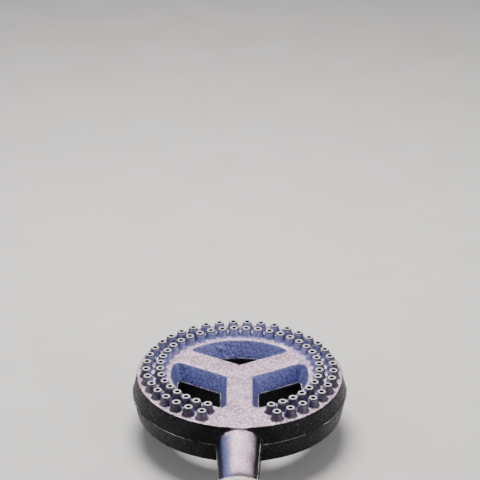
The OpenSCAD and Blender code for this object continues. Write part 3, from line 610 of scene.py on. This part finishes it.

# %% [markdown]
# ## Sand-cast iron
# The head is grey iron, cast in sand and shot blasted. Blasting leaves a matt grain of about
# 0.6 mm, drawn here at 1.4 mm so that it shows. Light and shade are painted into the colour: faces
# that look up are pale with painted top light, and the outer walls are nearly black with painted
# shade, with painted glints that grow towards the right. Painted shade darkens the corner where
# the tube enters the head, and the bell behind the flange. Painted blue flame light lies on the
# upper walls of the windows and the inner sides of the bosses, and a painted blue reflection of
# the flames lies on the left shoulder of the tube. The tube is smoother than the head. All this
# follows from where a face is and which way it looks.

# %% Cast iron
def cast_iron(name, top, wall_shade, inner, grain=1.4, reflected_flame_colour="#6f7cc4", on_jets=False):
    """Iron with a pair of colours for its top in painted top light and one for its walls in
    painted shade, a colour of painted flame light for the upper walls near the ring's middle,
    and one of painted reflected flame light for the tube's left shoulder. On the jets the
    painted flame light falls on each face that looks at the ring's middle."""
    made, nodes, shader, place_on = material(name)
    spot = place_on.outputs["Object"]
    fine = add(nodes, "TexNoise", {"Vector": spot, "Scale": per_mm(grain), "Detail": 3.0,
                                   "Roughness": 0.75})
    cloud = add(nodes, "TexNoise", {"Vector": spot, "Scale": per_mm(11), "Detail": 4.0})
    pits = add(nodes, "TexVoronoi", {"Vector": spot, "Scale": per_mm(2.2)})
    up = add(nodes, "SeparateXYZ", {"Vector": place_on.outputs["Normal"]})
    from_axis = add(nodes, "VectorMath", {0: spot, 1: (0, RING_Y / 1000, 0)},
                    operation="SUBTRACT")
    here = add(nodes, "SeparateXYZ", {"Vector": from_axis.outputs["Vector"]})
    flat = add(nodes, "VectorMath", {0: from_axis.outputs["Vector"], 1: (1, 1, 0)},
               operation="MULTIPLY")
    out = add(nodes, "VectorMath", {0: flat.outputs["Vector"]}, operation="LENGTH")
    radius, height, along = out.outputs["Value"], here.outputs["Z"], here.outputs["Y"]

    # Painted top light: faces that look up take the pale top colours, and all other faces take the
    # wall colours, which paint shade.
    faces_up_lit = add(nodes, "MapRange", {"Value": up.outputs["Z"], "From Min": 0.6,
                                    "From Max": 0.9}, interpolation_type="SMOOTHSTEP")
    # Painted shade in the corner where the tube meets the head and on the bell behind the flange,
    # where the painted top light is taken away.
    root_shade = times(nodes, grows(nodes, radius, TOP_R + 0.2, TOP_R + 0.5),
                 grows(nodes, radius, TOP_R + 1.6, TOP_R + 1.2), grows(nodes, height, 38, 39))
    bell_shade = times(nodes, grows(nodes, along, -107, -113), grows(nodes, along, -133.2, -132.8))
    corner_shade = add(nodes, "Math", {0: root_shade, 1: bell_shade}, operation="MAXIMUM")
    outside_corner_shade = add(nodes, "MapRange", {"Value": corner_shade.outputs["Value"], "To Min": 1.0,
                                      "To Max": 0.12})
    painted_top_light = times(nodes, faces_up_lit.outputs["Result"], outside_corner_shade.outputs["Result"])
    # Painted blue flame light: on the head it falls on the upper walls near the ring's middle, and
    # on the jets on the faces that look towards it.
    outwards = add(nodes, "VectorMath", {0: place_on.outputs["Normal"],
                                         1: flat.outputs["Vector"]}, operation="DOT_PRODUCT")
    towards_flames = (grows(nodes, outwards.outputs["Value"], 10, -25) if on_jets
            else grows(nodes, radius, 50, 47))
    lit = times(nodes, towards_flames, grows(nodes, height, PART_Z - 1, PART_Z + 1))

    tube = grows(nodes, along, -67, -72)
    # Painted blue reflection of the flames on the tube's left shoulder.
    turned_left = add(nodes, "MapRange", {"Value": up.outputs["X"], "From Min": -0.25,
                                          "From Max": -0.5})
    above_side = add(nodes, "MapRange", {"Value": up.outputs["Z"], "From Min": 0.54,
                                         "From Max": 0.71, "To Max": 0.75})
    flame_reflection = times(nodes, tube, turned_left.outputs["Result"], above_side.outputs["Result"])

    light = add(nodes, "ValToRGB", {"Fac": cloud.outputs["Fac"]},
                stops=[(0.35, top[0]), (0.65, top[1])])
    dark = add(nodes, "ValToRGB", {"Fac": cloud.outputs["Fac"]},
               stops=[(0.35, wall_shade[0]), (0.65, wall_shade[1])])
    # Painted glints on the shaded walls, with more of them towards the right, as painted light
    # from that side.
    painted_glint = add(nodes, "MapRange", {"Value": fine.outputs["Fac"], "From Min": 0.61,
                                    "From Max": 0.72, "To Max": 0.5})
    brighter_to_right = add(nodes, "MapRange", {"Value": here.outputs["X"], "From Min": 0.01,
                                      "From Max": 0.055, "To Min": 0.25, "To Max": 1.0})
    painted_glints = times(nodes, painted_glint.outputs["Result"], brighter_to_right.outputs["Result"])
    glinting_walls = add(nodes, "Mix", {"Factor": painted_glints, "A": dark.outputs["Color"],
                                "B": colour("#a39ea1")}, data_type="RGBA")
    walls_in_painted_light = add(nodes, "Mix", {"Factor": lit, "A": glinting_walls.outputs["Result"],
                               "B": colour(inner)}, data_type="RGBA")
    bare = add(nodes, "Mix", {"Factor": painted_top_light, "A": walls_in_painted_light.outputs["Result"],
                              "B": light.outputs["Color"]}, data_type="RGBA")
    base = add(nodes, "Mix", {"Factor": flame_reflection, "A": bare.outputs["Result"],
                              "B": colour(reflected_flame_colour)}, data_type="RGBA")
    speck = add(nodes, "ValToRGB", {"Fac": fine.outputs["Fac"]},
                stops=[(0.38, "#5c565a"), (0.5, "#bfb9bd"), (0.6, "#ffffff")])
    # The grain shows more strongly where the painted top light falls.
    speck_on_lit_top = add(nodes, "MapRange", {"Value": painted_top_light, "To Min": 0.6, "To Max": 0.8})
    smoother = add(nodes, "MapRange", {"Value": tube, "To Min": 1.0, "To Max": 0.55})
    strength = times(nodes, speck_on_lit_top.outputs["Result"], smoother.outputs["Result"])
    skin = add(nodes, "Mix", {"Factor": strength, "A": base.outputs["Result"],
                              "B": speck.outputs["Color"]}, data_type="RGBA",
               blend_type="MULTIPLY")
    rough = add(nodes, "MapRange", {"Value": fine.outputs["Fac"], "From Min": 0.3,
                                    "From Max": 0.7, "To Min": 0.6, "To Max": 0.34})
    hollow = add(nodes, "Bump", {"Height": pits.outputs["Distance"], "Strength": 0.3,
                                 "Distance": 0.0005})
    bump = add(nodes, "Bump", {"Height": fine.outputs["Fac"], "Strength": 0.8,
                               "Distance": 0.0008, "Normal": hollow.outputs["Normal"]})
    link = made.node_tree.links.new
    link(skin.outputs["Result"], shader.inputs["Base Color"])
    link(rough.outputs["Result"], shader.inputs["Roughness"])
    link(bump.outputs["Normal"], shader.inputs["Normal"])
    shader.inputs["Metallic"].default_value = 0.8
    return made


# Near-black wall colours paint the shade on the outer walls.
walls_in_painted_light = "#131214", "#242227"
dress(cast_iron("sand_cast_iron", ("#dfc1d4", "#fbe0f2"), walls_in_painted_light, "#969bd8"), head)
# The bosses get darker colours that paint the shade on them, with painted flame light on their
# inner sides.
dress(cast_iron("shaded_boss_iron", ("#77737e", "#9a95a2"), ("#514c5a", "#787385"), "#a6abe0",
                on_jets=True), *rows[:2])
dress(cast_iron("chipped_iron", ("#3c393e", "#dcd6dc"), walls_in_painted_light, "#a6a5b6"), *fins[:4])
dress(cast_iron("flash_iron", ("#8a858b", "#cfc8d0"), ("#59555a", "#a19ca1"), "#a6a5b6"),
      *fins[4:])
dress(cast_iron("turned_iron", ("#e4d6d6", "#f8eee8"), ("#6f6b70", "#8d888d"), "#8d888d", 0.9,
                reflected_flame_colour="#b9b2be"), flange)

# %% [markdown]
# ## Turned steel tips
# The rims are faced on a lathe. They are bright, with faint heat tints from jet to jet. Below the
# rim the colour is near black: soot in the ports, with painted shade in the ports and on the
# shaded sides. The dark colour follows the height, because all but the faced rim lies below it.

# %% Turned steel
made, nodes, shader, place_on = material("turned_steel_tips")
spot = place_on.outputs["Object"]
height = add(nodes, "SeparateXYZ", {"Vector": spot})
# Near black below the rim: soot in the ports, and painted shade in the ports and on the shaded
# sides.
soot_and_shade = add(nodes, "MapRange", {"Value": height.outputs["Z"], "From Min": (RIM_Z - 0.02) / 1000,
                                "From Max": (RIM_Z - 0.2) / 1000})
heat = add(nodes, "TexNoise", {"Vector": spot, "Scale": per_mm(9), "Detail": 1.0})
tint = add(nodes, "ValToRGB", {"Fac": heat.outputs["Fac"]},
           stops=[(0.35, "#e6e4f4"), (0.5, "#faf6fa"), (0.68, "#f3ece8")])
bare = add(nodes, "Mix", {"Factor": soot_and_shade.outputs["Result"], "A": tint.outputs["Color"],
                          "B": colour("#141213")}, data_type="RGBA")
marks = add(nodes, "TexNoise", {"Vector": spot, "Scale": per_mm(0.5), "Detail": 2.0})
rough = add(nodes, "MapRange", {"Value": marks.outputs["Fac"], "To Min": 0.18, "To Max": 0.42})
link = made.node_tree.links.new
link(bare.outputs["Result"], shader.inputs["Base Color"])
link(rough.outputs["Result"], shader.inputs["Roughness"])
shader.inputs["Metallic"].default_value = 0.55
dress(made, *rows[2:])

# %% [markdown]
# ## Softer copies of the small metal parts
# The frame's solids have edges as sharp as a drawing. Real parts never do: a milled edge is
# broken by a file, and a casting's is round. Each solid is copied, its loose triangles are
# merged, flat faces are made whole again, and its edges get a narrow bevel. The copy then
# stands for the solid, at the same place and on the same body.

# %% A tool that softens a solid
SHARP = math.radians(32)  # edges that turn by less than this are left alone


def softened(node, width):
    """A copy of a node's solid, with edges `width` mm wide."""
    solid = frame["nodes"][node]
    piece = solid.copy()
    piece.data = solid.data.copy()
    bpy.context.collection.objects.link(piece)
    piece.parent = None
    piece.matrix_world.identity()
    piece.name = piece.data.name = node + "_finished"
    edit(piece)
    bpy.ops.mesh.remove_doubles(threshold=0.000002)
    bpy.ops.mesh.dissolve_limited(angle_limit=math.radians(1))
    only(piece)
    finish_with(piece, "BEVEL", width=width / 1000, segments=2, limit_method="ANGLE",
                angle_limit=SHARP, use_clamp_overlap=True)
    only(piece)
    bpy.ops.object.shade_smooth_by_angle(angle=SHARP)
    body = next(b for b, nodes in frame["record"]["behaviour"]["bodies"].items() if node in nodes)
    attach(piece, body)
    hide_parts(node)
    return piece


soft = {node: softened(node, width) for node, width in {
    "bottom_cover": 0.7, "cover_screws": 0.25, "rear_feet": 0.3, "front_stand": 0.5,
    "stand_screws": 0.25, "air_plate": 0.4, "air_plate_screws": 0.2, "air_shutter": 0.25,
    "shutter_spring": 0.1, "injector": 0.15, "injector_nut": 0.3, "outlet_seal": 0.15,
    "cock_body": 0.35, "cock_plug": 0.25, "plug_washer": 0.15, "plug_nut": 0.3,
    "lever": 0.35, "lever_screw": 0.25, "lock_screw": 0.12, "inlet_seal": 0.15,
    "hose_barb": 0.3}.items()}
print("Softened", len(soft), "solids")

# %% [markdown]
# ## Brass
# The gas cock, its plug, the injector and the hose barb are turned from brass bar. Turning
# leaves fine grooves round the bar, here about 0.4 mm apart, and handling leaves the metal
# slightly dull and browner in patches. Grooves round the Y axis are bands across Y.

# %% Brass
made, nodes, shader, place_on = material("turned_brass")
spot = place_on.outputs["Object"]
stain = add(nodes, "TexNoise", {"Vector": spot, "Scale": per_mm(7), "Detail": 5.0,
                                "Roughness": 0.6})
gold = add(nodes, "ValToRGB", {"Fac": stain.outputs["Fac"]},
           stops=[(0.3, "#a87f3c"), (0.5, "#cfa758"), (0.7, "#dcbb70")])
along = add(nodes, "Mapping", {"Vector": spot, "Scale": (0.15, 1, 0.15)})
lathe = add(nodes, "TexNoise", {"Vector": along.outputs["Vector"], "Scale": per_mm(0.4),
                                "Detail": 2.0})
rough = add(nodes, "MapRange", {"Value": stain.outputs["Fac"], "From Min": 0.3, "From Max": 0.7,
                                "To Min": 0.42, "To Max": 0.24})
bump = add(nodes, "Bump", {"Height": lathe.outputs["Fac"], "Strength": 0.25,
                           "Distance": 0.0001})
link = made.node_tree.links.new
link(gold.outputs["Color"], shader.inputs["Base Color"])
link(rough.outputs["Result"], shader.inputs["Roughness"])
link(bump.outputs["Normal"], shader.inputs["Normal"])
shader.inputs["Metallic"].default_value = 1.0
dress(made, *[soft[n] for n in ("injector", "injector_nut", "cock_body", "cock_plug",
                                "plug_nut", "hose_barb", "lock_screw")])

# %% [markdown]
# ## Steel
# Four kinds of steel meet here. Zinc plate is pale, with a faint blue and straw bloom. The
# stand and the shutter are cut from rolled sheet, whose grain runs one way. Turned feet are
# plain and grey. The springs are darker, from their heat treatment.

# %% Steels
def steel(name, stops, rough_from, rough_to, stretch, grain, depth):
    """Steel whose surface marks are `grain` mm wide and run along the axes that `stretch`
    makes small."""
    made, nodes, shader, place_on = material(name)
    spot = place_on.outputs["Object"]
    bloom = add(nodes, "TexNoise", {"Vector": spot, "Scale": per_mm(8), "Detail": 4.0})
    tone = add(nodes, "ValToRGB", {"Fac": bloom.outputs["Fac"]}, stops=stops)
    drawn = add(nodes, "Mapping", {"Vector": spot, "Scale": stretch})
    marks = add(nodes, "TexNoise", {"Vector": drawn.outputs["Vector"], "Scale": per_mm(grain),
                                    "Detail": 3.0, "Roughness": 0.6})
    rough = add(nodes, "MapRange", {"Value": marks.outputs["Fac"], "From Min": 0.3,
                                    "From Max": 0.7, "To Min": rough_from, "To Max": rough_to})
    bump = add(nodes, "Bump", {"Height": marks.outputs["Fac"], "Strength": 0.3,
                               "Distance": depth / 1000})
    link = made.node_tree.links.new
    link(tone.outputs["Color"], shader.inputs["Base Color"])
    link(rough.outputs["Result"], shader.inputs["Roughness"])
    link(bump.outputs["Normal"], shader.inputs["Normal"])
    shader.inputs["Metallic"].default_value = 1.0
    return made


zinc = steel("zinc_plate", [(0.35, "#b9bfc8"), (0.5, "#cdcfcf"), (0.66, "#d3cdb9")],
             0.34, 0.5, (1, 1, 1), 0.5, 0.06)
sheet = steel("rolled_sheet", [(0.3, "#8f9092"), (0.5, "#a5a6a6"), (0.7, "#b0aea9")],
              0.3, 0.52, (1, 0.04, 1), 0.35, 0.06)
shutter_sheet = steel("brushed_sheet", [(0.3, "#a9a9ab"), (0.5, "#bcbbba"), (0.7, "#c6bfae")],
                      0.24, 0.44, (0.05, 1, 1), 0.3, 0.05)
plain = steel("lathe_turned_steel", [(0.3, "#8b8c8f"), (0.5, "#a09f9f"), (0.7, "#aba69d")],
              0.28, 0.45, (0.2, 0.2, 1), 0.4, 0.08)
spring = steel("blued_spring_steel", [(0.3, "#5e5c5d"), (0.5, "#77757a"), (0.7, "#7f7568")],
               0.25, 0.4, (1, 1, 1), 0.4, 0.03)
dress(zinc, *[soft[n] for n in ("cover_screws", "stand_screws", "air_plate_screws",
                                "lever_screw", "lever")])
dress(sheet, soft["front_stand"])
dress(shutter_sheet, soft["air_shutter"])
dress(plain, soft["rear_feet"])
dress(spring, soft["shutter_spring"], soft["plug_washer"], frame["nodes"]["plug_spring"])

# %% [markdown]
# ## The cover and the air plate
# Both are castings too. The cover keeps its dark skin. The air plate is faced on a lathe where
# it meets the bell and the shutter, so it shows fine rings round the tube's axis.

# %% Cover and air plate
dress(cast_iron("cover_iron", ("#6d686d", "#858087"), ("#3a373b", "#4c494e"), "#55535a"),
      soft["bottom_cover"])
made, nodes, shader, place_on = material("faced_iron")
spot = place_on.outputs["Object"]
centred = add(nodes, "Mapping", {"Vector": spot, "Location": (0, 0, -TUBE_Z / 1000)})
rings = add(nodes, "TexWave", {"Vector": centred.outputs["Vector"], "Scale": per_mm(0.8) / 20,
                               "Distortion": 0.6, "Detail": 2.0},
            wave_type="RINGS", rings_direction="Y")
fine = add(nodes, "TexNoise", {"Vector": spot, "Scale": per_mm(0.9), "Detail": 3.0})
tone = add(nodes, "ValToRGB", {"Fac": fine.outputs["Fac"]},
           stops=[(0.3, "#6f6c6e"), (0.5, "#94908f"), (0.7, "#a9a5a2")])
rough = add(nodes, "MapRange", {"Value": rings.outputs["Fac"], "To Min": 0.32, "To Max": 0.48})
bump = add(nodes, "Bump", {"Height": rings.outputs["Fac"], "Strength": 0.2, "Distance": 0.0001})
link = made.node_tree.links.new
link(tone.outputs["Color"], shader.inputs["Base Color"])
link(rough.outputs["Result"], shader.inputs["Roughness"])
link(bump.outputs["Normal"], shader.inputs["Normal"])
shader.inputs["Metallic"].default_value = 0.9
dress(made, soft["air_plate"])

# %% [markdown]
# ## Gaskets, seals and the grip
# The cover's gasket is graphite sheet, and the seals are red vulcanised fibre. The lever's
# grip is moulded phenolic resin, black, with a low sheen and a faint flow pattern.

# %% Soft and moulded materials
def moulded(name, stops, mottle, rough_from, rough_to, depth):
    made, nodes, shader, place_on = material(name)
    spot = place_on.outputs["Object"]
    speck = add(nodes, "TexNoise", {"Vector": spot, "Scale": per_mm(mottle), "Detail": 4.0})
    tone = add(nodes, "ValToRGB", {"Fac": speck.outputs["Fac"]}, stops=stops)
    rough = add(nodes, "MapRange", {"Value": speck.outputs["Fac"], "From Min": 0.3,
                                    "From Max": 0.7, "To Min": rough_from, "To Max": rough_to})
    bump = add(nodes, "Bump", {"Height": speck.outputs["Fac"], "Strength": 0.4,
                               "Distance": depth / 1000})
    link = made.node_tree.links.new
    link(tone.outputs["Color"], shader.inputs["Base Color"])
    link(rough.outputs["Result"], shader.inputs["Roughness"])
    link(bump.outputs["Normal"], shader.inputs["Normal"])
    return made


dress(moulded("graphite_sheet", [(0.35, "#2c2a29"), (0.65, "#4a4744")], 0.7, 0.5, 0.7, 0.1),
      frame["nodes"]["cover_gasket"])
dress(moulded("red_fibre", [(0.35, "#5d2019"), (0.65, "#833228")], 0.6, 0.5, 0.65, 0.08),
      soft["outlet_seal"], soft["inlet_seal"])
dress(moulded("black_phenolic", [(0.3, "#0f0e0e"), (0.7, "#1c1a19")], 1.6, 0.28, 0.42, 0.04),
      frame["nodes"]["lever_grip"])

# %% [markdown]
# ## The floor
# A plain pale sheet of matt card keeps all attention on the burner. It is slightly uneven in
# tone, as card is.

# %% Floor card
made, nodes, shader, place_on = material("pale_card")
tone = add(nodes, "TexNoise", {"Vector": place_on.outputs["Object"], "Scale": per_mm(60)})
card = add(nodes, "ValToRGB", {"Fac": tone.outputs["Fac"]},
           stops=[(0.3, "#c9c7c4"), (0.7, "#cfcdca")])
made.node_tree.links.new(card.outputs["Color"], shader.inputs["Base Color"])
shader.inputs["Roughness"].default_value = 0.85
dress(made, floor)
